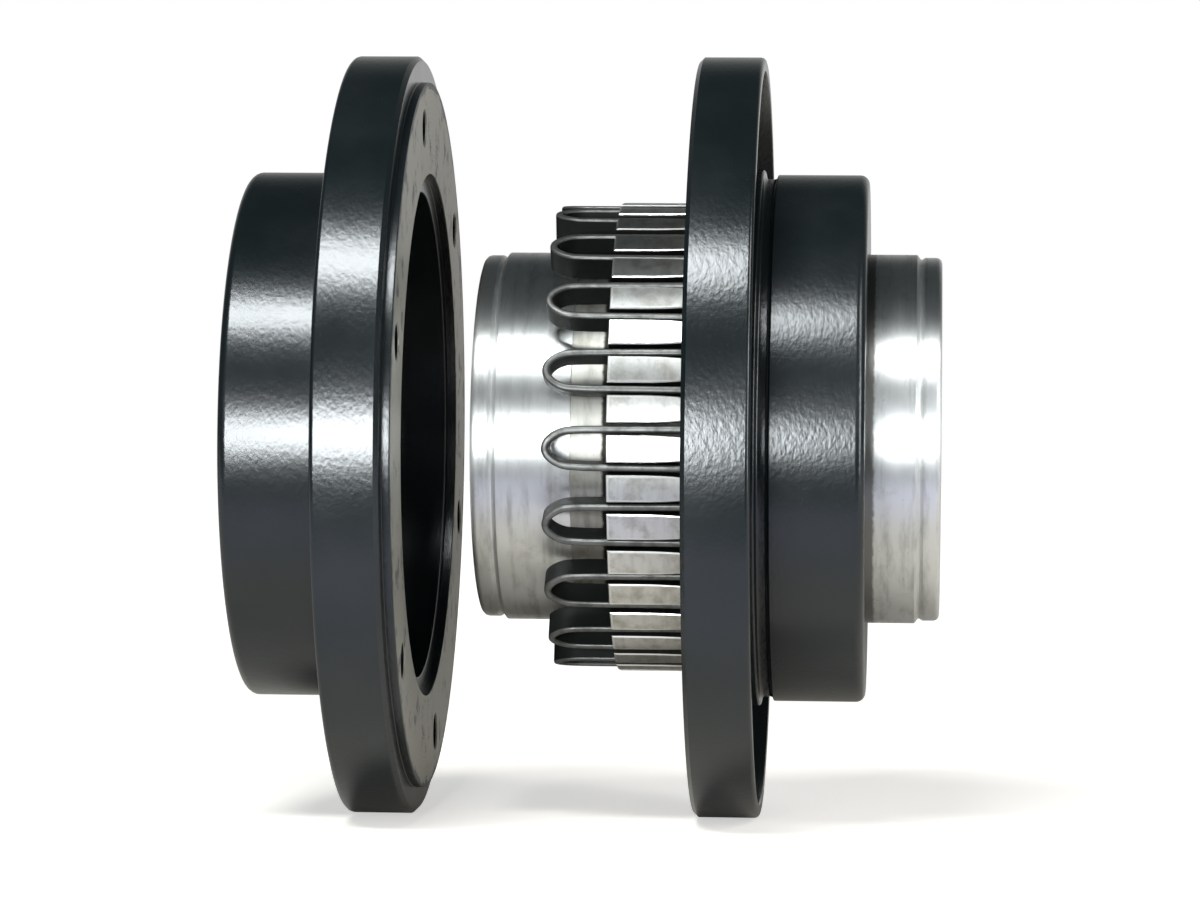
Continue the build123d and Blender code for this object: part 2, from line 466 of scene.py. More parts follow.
class Graph:
    """A material's node graph, with the object's own coordinates in millimetres."""

    def __init__(self, owner: Union[bpy.types.Material, bpy.types.World]) -> None:
        """Start the empty graph of a material or of the surroundings.

        Args:
            owner: what the graph belongs to.
        """
        self.owner = owner
        owner.use_nodes = True
        self.tree = owner.node_tree
        self.tree.nodes.clear()

    @classmethod
    def of(cls, name: str) -> "Graph":
        """The empty graph of a new material."""
        return cls(bpy.data.materials.new(name))

    def node(
        self, kind: str, settings: Optional[dict] = None, inputs: Optional[dict] = None
    ) -> bpy.types.Node:
        """Add a node.

        Args:
            kind: the node's type.
            settings: its properties, which are set first.
            inputs: values or links of its sockets, by name or number.

        Returns:
            The node.
        """
        node = self.tree.nodes.new(kind)
        for key, value in (settings or {}).items():
            setattr(node, key, value)
        for key, value in (inputs or {}).items():
            if isinstance(value, Value):
                self.tree.links.new(value.socket, node.inputs[key])
            else:
                node.inputs[key].default_value = value
        return node

    def out(
        self,
        kind: str,
        output: Union[int, str],
        settings: Optional[dict] = None,
        inputs: Optional[dict] = None,
    ) -> Value:
        """Add a node and take one of its outputs, with the arguments of node()."""
        return Value(self, self.node(kind, settings, inputs).outputs[output])

    def place(self) -> Value:
        """The place on the object, in millimetres.

        Returns:
            The place's three coordinates, as one value.
        """
        metres = self.out("ShaderNodeTexCoord", "Object")
        inputs = {0: metres, "Scale": 1 / MM}
        return self.out("ShaderNodeVectorMath", 0, {"operation": "SCALE"}, inputs)

    def stretched(self, place: Value, scales: Place) -> Value:
        """A place with its three coordinates scaled."""
        inputs = {0: place, 1: scales}
        return self.out("ShaderNodeVectorMath", 0, {"operation": "MULTIPLY"}, inputs)

    def axes(self, place: Value) -> tuple[Value, Value, Value]:
        """The three coordinates of a place."""
        split = self.node("ShaderNodeSeparateXYZ", {}, {0: place})
        return tuple(Value(self, socket) for socket in split.outputs[:3])

    def noise(
        self, place: Value, size: float, detail: float = 2.0, roughness: float = 0.5
    ) -> Value:
        """Noise in space.

        Args:
            place: where the noise is read.
            size: how large its cells are, in millimetres.
            detail: how many finer layers it has.
            roughness: how strong the finer layers are.

        Returns:
            A value round 0.5.
        """
        inputs = {"Vector": place, "Scale": 1 / size, "Detail": detail, "Roughness": roughness}
        return self.out("ShaderNodeTexNoise", 0, {}, inputs)

    def line_noise(self, along: Value, size: float, detail: float = 2.0) -> Value:
        """Noise that changes along one value only, for turned rings.

        Args:
            along: the value, in millimetres.
            size: how wide its rings are, in millimetres.
            detail: how many finer layers it has.

        Returns:
            A value round 0.5.
        """
        inputs = {"W": along, "Scale": 1 / size, "Detail": detail, "Roughness": 0.6}
        return self.out("ShaderNodeTexNoise", 0, {"noise_dimensions": "1D"}, inputs)

    def mix(
        self,
        factor: Union[Value, float],
        first: Union[Value, Colour],
        second: Union[Value, Colour],
    ) -> Value:
        """Mix two colours.

        Args:
            factor: 0 for the first colour, 1 for the second.
            first: the colour at 0.
            second: the colour at 1.

        Returns:
            The mixed colour.
        """
        ends = [c if isinstance(c, Value) else (*c, 1.0) for c in (first, second)]
        settings = {"data_type": "RGBA", "clamp_factor": True}
        return self.out("ShaderNodeMix", 2, settings, {0: factor, 6: ends[0], 7: ends[1]})

    def gradient(self, factor: Value, stops: Sequence[tuple[float, Colour]]) -> Value:
        """A colour that changes with a value.

        Args:
            factor: the value, from 0 to 1.
            stops: places on the value and their colours, in order.

        Returns:
            The colour.
        """
        node = self.node("ShaderNodeValToRGB", {}, {0: factor})
        ramp = node.color_ramp
        for position, _ in stops[1:-1]:
            ramp.elements.new(position)
        for element, (position, colour) in zip(ramp.elements, stops):
            element.position = position
            element.color = (*colour, 1.0)
        return Value(self, node.outputs[0])

    def bump(self, height: Value, depth: float, under: Optional[Value] = None) -> Value:
        """Bump from a height.

        Args:
            height: the relief, from 0 to 1.
            depth: how deep 1 is, in millimetres.
            under: a normal that the relief lies on.

        Returns:
            The normal.
        """
        inputs: dict = {"Height": height, "Distance": depth * MM, "Strength": 1.0}
        if under is not None:
            inputs["Normal"] = under
        return self.out("ShaderNodeBump", 0, {}, inputs)

    def finish(self, **inputs: object) -> bpy.types.Material:
        """Close the graph with one surface shader.

        Args:
            inputs: the shader's sockets, with _ for a space in their names.

        Returns:
            The material.
        """
        named = {key.replace("_", " "): value for key, value in inputs.items()}
        surface = self.out("ShaderNodeBsdfPrincipled", 0, {}, named)
        self.node("ShaderNodeOutputMaterial", {}, {"Surface": surface})
        return self.owner


@dataclass(frozen=True)
class CoverPaint:
    """Semi-gloss black paint over a cast and turned cover, with a slight orange peel."""

    name: str = "cover_paint"
    colour: Colour = (0.0045, 0.0075, 0.008)
    dusty: Colour = (0.013, 0.0155, 0.017)
    roughness: float = 0.24
    specular: float = 0.56
    peel: float = 0.048
    wave_size: float = 1.6
    wave_stretch: Place = (1.5, 1.0, 1.0)
    ripple_size: float = 0.8
    cloud_size: float = 26.0
    dust_size: float = 0.35
    dust_patch: float = 9.0

    def material(self) -> bpy.types.Material:
        """The paint as a material.

        Returns:
            The material.
        """
        graph = Graph.of(self.name)
        place = graph.place()
        cloud = graph.noise(place, self.cloud_size, 4.0, 0.6)
        waves = graph.noise(graph.stretched(place, self.wave_stretch), self.wave_size)
        dust = graph.noise(place, self.dust_size, 1.0).ramp(0.72, 0.8)
        dust = dust * graph.noise(place, self.dust_patch).ramp(0.45, 0.65)
        colour = graph.mix(cloud.ramp(0.35, 0.75) * 0.5 + dust * 0.4, self.colour, self.dusty)
        rough = self.roughness + (cloud - 0.5) * 0.1 + dust * 0.2
        relief = graph.bump(waves, self.peel)
        ripples = graph.noise(place, self.ripple_size, 1.0)
        relief = graph.bump(ripples, self.peel * 0.1, relief)
        return graph.finish(
            Base_Color=colour, Roughness=rough, Specular_IOR_Level=self.specular, Normal=relief
        )


FLANGE_PAINT = CoverPaint("flange_paint", roughness=0.22)


@dataclass(frozen=True)
class JointFace:
    """The cover's turned joint face: grey iron under thin, rubbed paint."""

    name: str = "joint_face"
    iron: Colour = (0.35, 0.338, 0.288)
    paint: Colour = (0.03, 0.032, 0.032)
    painted_from: float = 85.6
    rim_width: float = 4.0
    patch_size: float = 7.0
    ring_width: float = 0.35
    ring_depth: float = 0.008
    roughness: float = 0.45
    metallic: float = 0.6

    def material(self) -> bpy.types.Material:
        """The face as a material.

        Returns:
            The material.
        """
        graph = Graph.of(self.name)
        place = graph.place()
        _, y, z = graph.axes(place)
        radius = (y * y + z * z) ** 0.5
        rings = graph.line_noise(radius, self.ring_width, 3.0)
        patches = graph.noise(place, self.patch_size, 4.0, 0.65)
        rim = radius.ramp(self.painted_from, self.painted_from + self.rim_width)
        painted = (patches + rings * 0.25 + rim * 0.45).ramp(0.66, 0.8)
        colour = graph.mix(painted, self.iron, self.paint)
        rough = self.roughness + (rings - 0.5) * 0.2
        bare = (1 - painted) * self.metallic
        relief = graph.bump(rings, self.ring_depth)
        return graph.finish(Base_Color=colour, Roughness=rough, Metallic=bare, Normal=relief)


@dataclass(frozen=True)
class TurnedSteel:
    """Turned steel with fine rings, grey stains and a trace of brown.

    Its rings scatter light along the shaft far more than round it, which the anisotropy gives.
    """

    name: str
    bright: Colour
    grey: Colour
    brown: Colour
    roughness: float
    anisotropic: float
    stained: float = 0.55
    ring_width: float = 0.3
    ring_depth: float = 0.006
    band_width: float = 3.1
    smear_size: float = 5.0
    smear_stretch: Place = (2.2, 0.5, 0.5)
    stain_size: float = 14.0
    speck_size: float = 0.8
    grain_size: float = 0.5
    grain_depth: float = 0.0025

    def material(self) -> bpy.types.Material:
        """The steel as a material.

        Returns:
            The material.
        """
        graph = Graph.of(self.name)
        place = graph.place()
        x, _, _ = graph.axes(place)
        rings = graph.line_noise(x, self.ring_width, 3.0)
        bands = graph.line_noise(x, self.band_width)
        smeared = graph.stretched(place, self.smear_stretch)
        smear = graph.noise(smeared, self.smear_size, 4.0, 0.6)
        stain = graph.noise(place, self.stain_size, 5.0, 0.65)
        speck = graph.noise(place, self.speck_size).ramp(0.66, 0.78) * stain.ramp(0.42, 0.62)
        colour = graph.mix((smear * 0.7 + bands * 0.4).ramp(0.5, 0.8), self.bright, self.grey)
        colour = graph.mix(stain.ramp(0.56, 0.78) * self.stained + speck * 0.5, colour, self.brown)
        rough = self.roughness + (smear - 0.5) * 0.2 + (rings - 0.5) * 0.1 + speck * 0.15
        colour = self.marked(graph, place, colour)
        relief = graph.bump(rings, self.ring_depth)
        relief = graph.bump(graph.noise(place, self.grain_size), self.grain_depth, relief)
        return graph.finish(
            Base_Color=colour,
            Roughness=rough,
            Metallic=1.0,
            Anisotropic=self.anisotropic,
            Normal=relief,
        )

    def marked(self, graph: Graph, place: Value, colour: Value) -> Value:
        """The steel's colour with the marks of its own spot on the hub: none here."""
        return colour


@dataclass(frozen=True)
class OiledAndShadedSteel(TurnedSteel):
    """Turned steel with a dark band in a corner that runs round it: partly oily dirt gathered there
    and partly painted shade of the corner.
    """

    corner_x: float = 0.0
    oil_and_shade_width: float = 1.9
    oil_and_shade_ragged: float = 0.9
    # the band's colour: oily dirt and painted shade of the corner
    oil: Colour = (0.025, 0.024, 0.02)

    def marked(self, graph: Graph, place: Value, colour: Value) -> Value:
        """The steel's colour with the oil in the corner.

        Args:
            graph: the material's graph.
            place: the place on the hub, in millimetres.
            The steel's colour, darkened in the corner by oily dirt and painted shade.

        Returns:
            The marked colour.
        """
        x, _, _ = graph.axes(place)
        ragged = (graph.noise(place, 1.8, 3.0) - 0.5) * self.oil_and_shade_ragged
        away = ((x - self.corner_x) ** 2) ** 0.5 + ragged
        outside_corner_band = away.ramp(self.oil_and_shade_width * 0.8, self.oil_and_shade_width * 1.25)
        return graph.mix(outside_corner_band, self.oil, colour)


@dataclass(frozen=True)
class ToothSteel(TurnedSteel):
    """Steel of the teeth: stained on top, and lighter along the edges, partly from wear and partly
    as a painted highlight of the edge bevels.
    """

    pitch: float = 0.0
    phase: float = 0.0
    slot_half: float = 0.0
    radius: float = 0.0
    ends: tuple[float, float] = (0.0, 0.0)
    # painted highlight of the tooth edges' bevels, along with their wear
    worn_and_highlit: Colour = (0.88, 0.87, 0.84)
    dull: float = 0.5
    edge: float = 0.55
    edge_ragged: float = 0.5
    blotch_size: float = 4.0

    def marked(self, graph: Graph, place: Value, colour: Value) -> Value:
        """The steel's colour with the rubbed edges.

        Args:
            graph: the material's graph.
            place: the place on the hub, in millimetres.
            colour: the steel's colour.

        Returns:
            The steel's colour, lighter along the edges: partly wear and partly a painted highlight
            of the bevels.
        """
        x, y, z = graph.axes(place)
        turned_by = (z * -1).around(y * -1) - radians(self.phase)
        from_slot = turned_by.zigzag(radians(self.pitch) / 2) * self.radius - self.slot_half
        from_ends = ((x - self.ends[0]) ** 2) ** 0.5
        from_ends = from_ends.lesser(((x - self.ends[1]) ** 2) ** 0.5)
        ragged = (graph.noise(place, 1.2, 3.0) - 0.5) * self.edge_ragged
        inside = (from_slot.lesser(from_ends) + ragged).ramp(self.edge * 0.5, self.edge * 1.5)
        blotch = graph.noise(place, self.blotch_size, 4.0, 0.6).ramp(0.4, 0.7)
        top = graph.mix(inside * blotch * self.dull, colour, self.brown)
        return graph.mix(inside, self.worn_and_highlit, top)


BOSS_STEEL = OiledAndShadedSteel(
    name="turned_steel",
    bright=(0.81, 0.815, 0.8),
    grey=(0.55, 0.55, 0.53),
    brown=(0.4, 0.36, 0.29),
    roughness=0.415,
    anisotropic=0.84,
    # a grey band of painted shade, with some oily dirt, next to the cover's end
    oil=(0.25, 0.245, 0.23),
)
# the neck is darker than the boss: a dull oily finish and partly painted shade under the spring's
# loops, with a near black band of painted shadow and dirt at the teeth's foot
SHADED_NECK_STEEL = OiledAndShadedSteel(
    name="dull_steel",
    bright=(0.45, 0.44, 0.4),
    grey=(0.3, 0.29, 0.26),
    brown=(0.25, 0.22, 0.16),
    roughness=0.5,
    anisotropic=0.7,
    stained=0.8,
)
TOOTH_STEEL = ToothSteel(
    name="tooth_steel",
    bright=(0.7, 0.7, 0.675),
    grey=(0.55, 0.55, 0.53),
    brown=(0.3, 0.27, 0.21),
    roughness=0.42,
    anisotropic=0.7,
    stained=0.6,
)
# near black slot walls and floors: partly grease, partly painted shade inside the narrow slots
SHADED_SLOT_STEEL = TurnedSteel(
    name="oiled_and_shaded_slots",
    bright=(0.035, 0.034, 0.03),
    grey=(0.02, 0.02, 0.018),
    brown=(0.02, 0.016, 0.011),
    roughness=0.5,
    anisotropic=0.0,
    stained=0.8,
)


@dataclass(frozen=True)
class SpringSteel:
    """Hardened strip: a near black, oiled scale, ground grey along its outer edge."""

    name: str = "spring_steel"
    scale: Colour = (0.004, 0.0052, 0.0045)
    ground: Colour = (0.14, 0.14, 0.132)
    edge_radius: float = 57.25
    edge_ragged: float = 0.35
    roughness: float = 0.5
    metallic: float = 0.75
    specular: float = 0.17
    patch_size: float = 3.0
    grain_size: float = 0.35
    grain_depth: float = 0.006

    def material(self) -> bpy.types.Material:
        """The strip's steel as a material.

        Returns:
            The material.
        """
        graph = Graph.of(self.name)
        place = graph.place()
        _, y, z = graph.axes(place)
        radius = (y * y + z * z) ** 0.5
        patches = graph.noise(place, self.patch_size, 4.0, 0.65)
        ragged = radius + (patches - 0.5) * self.edge_ragged
        edge = ragged.ramp(self.edge_radius - 0.1, self.edge_radius + 0.12)
        grain = graph.noise(place, self.grain_size, 3.0, 0.6)
        dull = tuple(c * 0.6 for c in self.ground)
        ground = graph.mix(patches.ramp(0.4, 0.7), self.ground, dull)
        return graph.finish(
            Base_Color=graph.mix(edge, self.scale, ground),
            Roughness=self.roughness + (patches - 0.5) * 0.3 - edge * 0.08,
            Metallic=edge * self.metallic,
            Specular_IOR_Level=self.specular,
            Normal=graph.bump(grain, self.grain_depth),
        )


@dataclass(frozen=True)
class PlainFinish:
    """A finish of the small pieces: one colour with a second one through it in patches."""

    name: str
    colour: Colour
    second: Colour
    roughness: float
    metallic: float
    patch: float
    grain: float
    grain_depth: float

    def material(self) -> bpy.types.Material:
        """The finish as a material.

        Returns:
            The material.
        """
        graph = Graph.of(self.name)
        place = graph.place()
        patches = graph.noise(place, self.patch, 4.0, 0.6)
        grain = graph.noise(place, self.grain, 2.0)
        colour = graph.mix(patches.ramp(0.35, 0.7), self.colour, self.second)
        rough = self.roughness + (patches - 0.5) * 0.2 + (grain - 0.5) * 0.1
        relief = graph.bump(grain, self.grain_depth)
        return graph.finish(
            Base_Color=colour, Roughness=rough, Metallic=self.metallic, Normal=relief
        )


RUBBER = PlainFinish(
    name="seal_rubber",
    colour=(0.018, 0.018, 0.018),
    second=(0.034, 0.033, 0.031),
    roughness=0.6,
    metallic=0.0,
    patch=4.0,
    grain=0.4,
    grain_depth=0.01,
)
PAPER = PlainFinish(
    name="gasket_paper",
    colour=(0.33, 0.26, 0.17),
    second=(0.22, 0.17, 0.1),
    roughness=0.8,
    metallic=0.0,
    patch=5.0,
    grain=0.3,
    grain_depth=0.02,
)
BLACKENED = PlainFinish(
    name="blackened_screw",
    colour=(0.05, 0.05, 0.05),
    second=(0.11, 0.1, 0.09),
    roughness=0.38,
    metallic=0.9,
    patch=2.0,
    grain=0.25,
    grain_depth=0.006,
)


@dataclass(frozen=True)
class Finishes:
    """Every material of the coupling."""

    paint: bpy.types.Material
    flange: bpy.types.Material
    joint: bpy.types.Material
    # the slots' near black finish, partly painted shade
    slots: bpy.types.Material
    spring: bpy.types.Material
    rubber: bpy.types.Material
    paper: bpy.types.Material
    screw: bpy.types.Material

    @classmethod
    def made(cls) -> "Finishes":
        """Make them all."""
        return cls(
            paint=CoverPaint().material(),
            flange=FLANGE_PAINT.material(),
            joint=JointFace().material(),
            slots=SHADED_SLOT_STEEL.material(),
            spring=SpringSteel().material(),
            rubber=RUBBER.material(),
            paper=PAPER.material(),
            screw=BLACKENED.material(),
        )


# The coupling's pieces


@dataclass
class SidePiece:
    """A piece of one side, measured outwards along the shaft from where its side starts."""

    side: Side
    start_x: float

    def out(self, x: float) -> float:
        """A place along the shaft, from a distance outwards."""
        return self.start_x + self.side.value * x

    def placed(self, corners: Sequence[Corner]) -> list[Corner]:
        """Corners whose x is a distance outwards, at their places along the shaft."""
        return [replace(c, x=self.out(c.x)) for c in corners]


@dataclass
class SocketScrew:
    """A headless screw or plug with a hexagon socket, standing radially."""

    diameter: float
    length: float
    top: float
    across: float
    depth: float
    chamfer: float = 0.5
    top_round: float = 0.35
    mouth_edge: float = 0.35
    mouth_over: float = 0.6

    def model(self, name: str, x: float, angles: Sequence[float]) -> bpy.types.Object:
        """Model the screw once and copy it.

        Args:
            name: the new piece's name.
            x: where the screws stand along the shaft.
            angles: where they stand round it.

        Returns:
            The screws as one piece.
        """
        radius = self.diameter / 2
        low = self.top - self.length
        screw = turned(
            name,
            [
                Corner(low, 0),
                Corner(low, radius, self.chamfer, 1),
                Corner(self.top, radius, self.top_round, 2),
                Corner(self.top, 0),
            ],
            FINE_STEPS,
            closed=False,
        )
        corners = self.across / cos(pi / 6)
        cut_out(screw, prism("socket", 6, corners, self.top - self.depth, self.top + PAST))
        mouth_radius = corners / 2 + self.mouth_edge
        mouth_top = self.top + self.mouth_over
        mouth = turned(
            "socket_mouth",
            [
                Corner(self.top - mouth_radius, 0),
                Corner(mouth_top, mouth_radius + self.mouth_over),
                Corner(mouth_top, 0),
            ],
            FINE_STEPS,
            closed=False,
        )
        cut_out(screw, mouth)
        stand_radially(screw, x)
        screw = ring_of(screw, angles)
        smooth(screw)
        return screw


@dataclass
class CoverHalf(SidePiece):
    """One half of the flanged cover, measured from the joint between the two."""

    face: float
    register: float
    flange_radius: float = 95.0
    flange_width: float = 16.2
    rim: float = 91.5
    recess_rim: float = 90.8
    web_rear: float = 7.0
    shroud: float = 67.0
    relief: float = 64.7
    relief_end: float = 19.4
    drum: float = 65.8
    length: float = 42.2
    hub_hole: float = 46.5
    groove: tuple[float, float, float] = (40.5, 36.3, 49.25)
    collar: tuple[float, float] = (34.6, 50.5)
    wall: float = 38.6
    cavity: float = 61.0
    counterbore: float = 65.5
    counterbore_depth: float = 2.4
    bolt_circle: float = 78.25
    hole: float = 4.5
    hole_count: int = 6
    hole_phase: float = -16.0
    hole_edge: float = 0.35
    plug_x: float = 31.2
    plug_hole: float = 4.85
    plug_edge: float = 0.3
    plug_seat: tuple[float, float] = (65.3, 6.5)
    plug_angles: tuple[float, float] = (-100.0, 100.0)
    plug_steps: int = 64
    front_chamfer: float = 1.1
    rear_round: float = 1.2
    recess_round: float = 2.0
    relief_round: float = 0.9
    drum_round: float = 2.3
    wall_round: float = 0.8
    cavity_round: float = 1.6
    face_depth: float = 0.2
    steps: int = 240

    @property
    def name(self) -> str:
        """The half's name in the CAD model."""
        return f"cover_{self.side.word}"

    def on_joint_face(self, place: Vector, normal: Vector) -> bool:
        """Whether a face is part of the turned joint face, outside the counterbore."""
        level = abs(place.x - self.out(self.face)) < self.face_depth and abs(normal.x) > 0.7
        return level and from_axis(place) > self.counterbore

    def profile(self) -> list[Corner]:
        """The half section's corners, from the rim's front edge outwards and back inside.

        Returns:
            The corners, at their places along the shaft.
        """
        groove_out, groove_in, groove_radius = self.groove
        collar_x, collar_radius = self.collar
        bore_floor = self.face + self.counterbore_depth
        corners = [
            Corner(0, self.flange_radius, self.front_chamfer, 1),
            Corner(self.flange_width, self.flange_radius, self.rear_round, 3),
            Corner(self.flange_width, self.rim, 0.5, 2),
            Corner(self.web_rear, self.recess_rim, self.recess_round, 5),
            Corner(self.web_rear, self.shroud, self.recess_round, 5),
            Corner(self.flange_width, self.shroud, 0.6, 3),
            Corner(self.flange_width, self.relief, self.relief_round, 4),
            Corner(self.relief_end, self.relief, self.relief_round, 4),
            Corner(self.relief_end, self.drum, 0.3, 2),
            Corner(self.length, self.drum, self.drum_round, 6),
            Corner(self.length, self.hub_hole, 0.4, 2),
            Corner(groove_out, self.hub_hole, 0.2, 1),
            Corner(groove_out, groove_radius),
            Corner(groove_in, groove_radius),
            Corner(groove_in, self.hub_hole, 0.2, 1),
            Corner(collar_x, self.hub_hole, 0.5, 2),
            Corner(collar_x, collar_radius, 0.5, 2),
            Corner(self.wall, collar_radius, self.wall_round, 3),
            Corner(self.wall, self.cavity, self.cavity_round, 5),
            Corner(bore_floor, self.cavity, 0.3, 2),
            Corner(bore_floor, self.counterbore, 0.3, 2),
            Corner(self.face, self.counterbore, 0.4, 2),
            Corner(self.face, self.register, 0.3, 2),
            Corner(0, self.register, 0.2, 1),
        ]
        return self.placed(corners)

    def bolt_cutter(self) -> bpy.types.Object:
        """The ring of bolt holes as a cutter, each hole's two edges broken.

        Returns:
            The cutter, a closed shell.
        """
        edge, mouth = self.hole_edge, self.hole + self.hole_edge + PAST
        run = [
            (self.face - PAST, 0),
            (self.face - PAST, mouth),
            (self.face + edge, self.hole),
            (self.web_rear - edge, self.hole),
            (self.web_rear + PAST, mouth),
            (self.web_rear + PAST, 0),
        ]
        corners = self.placed([Corner(x, radius) for x, radius in run])
        cutter = turned("bolt_holes", corners, FINE_STEPS, closed=False)
        cutter.location = (0, -self.bolt_circle * MM, 0)
        pick_only(cutter)
        settle()
        return ring_of(cutter, spread(self.hole_count, self.hole_phase))

    def plug_cutter(self) -> bpy.types.Object:
        """The two plug holes and their round seats as a cutter.

        Returns:
            The cutter, a closed shell.
        """
        seat, seat_radius = self.plug_seat
        cutter = turned(
            "plug_holes",
            [
                Corner(self.cavity - PAST, 0),
                Corner(self.cavity - PAST, self.plug_hole),
                Corner(seat - self.plug_edge, self.plug_hole),
                Corner(seat, self.plug_hole + self.plug_edge),
                Corner(seat, seat_radius, 0.2, 2),
                Corner(self.drum + PAST, seat_radius + self.plug_edge),
                Corner(self.drum + PAST, 0),
            ],
            self.plug_steps,
            closed=False,
        )
        stand_radially(cutter, self.out(self.plug_x))
        return ring_of(cutter, self.plug_angles)

    def build(self, finishes: Finishes) -> bpy.types.Object:
        """Model and dress the half.

        Args:
            finishes: the materials.

        Returns:
            The finished piece, which rides on its body.
        """
        piece = turned(f"painted_{self.name}", self.profile(), self.steps)
        cut_out(piece, self.bolt_cutter(), self.plug_cutter())
        smooth(piece)
        assign(
            piece,
            (finishes.paint, None),
            (finishes.flange, lambda place, normal: from_axis(place) > self.register),
            (finishes.joint, self.on_joint_face),
        )
        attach(piece, f"{self.side.word}_cover")
        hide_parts(self.name)
        return piece


@dataclass
class LipSeal(SidePiece):
    """The lip seal in a cover half's end hole, measured from the joint."""

    middle: float = 38.4
    half_width: float = 2.0
    outer: float = 49.15
    lip: float = 46.2
    lip_half_width: float = 0.8
    shoulder: float = 47.4
    steps: int = 180

    def build(self, finishes: Finishes) -> bpy.types.Object:
        """Model and dress the seal.

        Args:
            finishes: the materials.

        Returns:
            The finished piece, which rides on its cover half.
        """
        x, half, lip = self.out(self.middle), self.half_width, self.lip_half_width
        piece = turned(
            f"moulded_seal_{self.side.word}",
            [
                Corner(x - half, self.outer, 0.3, 2),
                Corner(x + half, self.outer, 0.3, 2),
                Corner(x + half, self.shoulder, 0.25, 2),
                Corner(x + lip, self.lip, 0.2, 2),
                Corner(x - lip, self.lip, 0.2, 2),
                Corner(x - half, self.shoulder, 0.25, 2),
            ],
            self.steps,
        )
        smooth(piece)
        assign(piece, (finishes.rubber, None))
        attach(piece, f"{self.side.word}_cover")
        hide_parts(f"seal_{self.side.word}")
        return piece


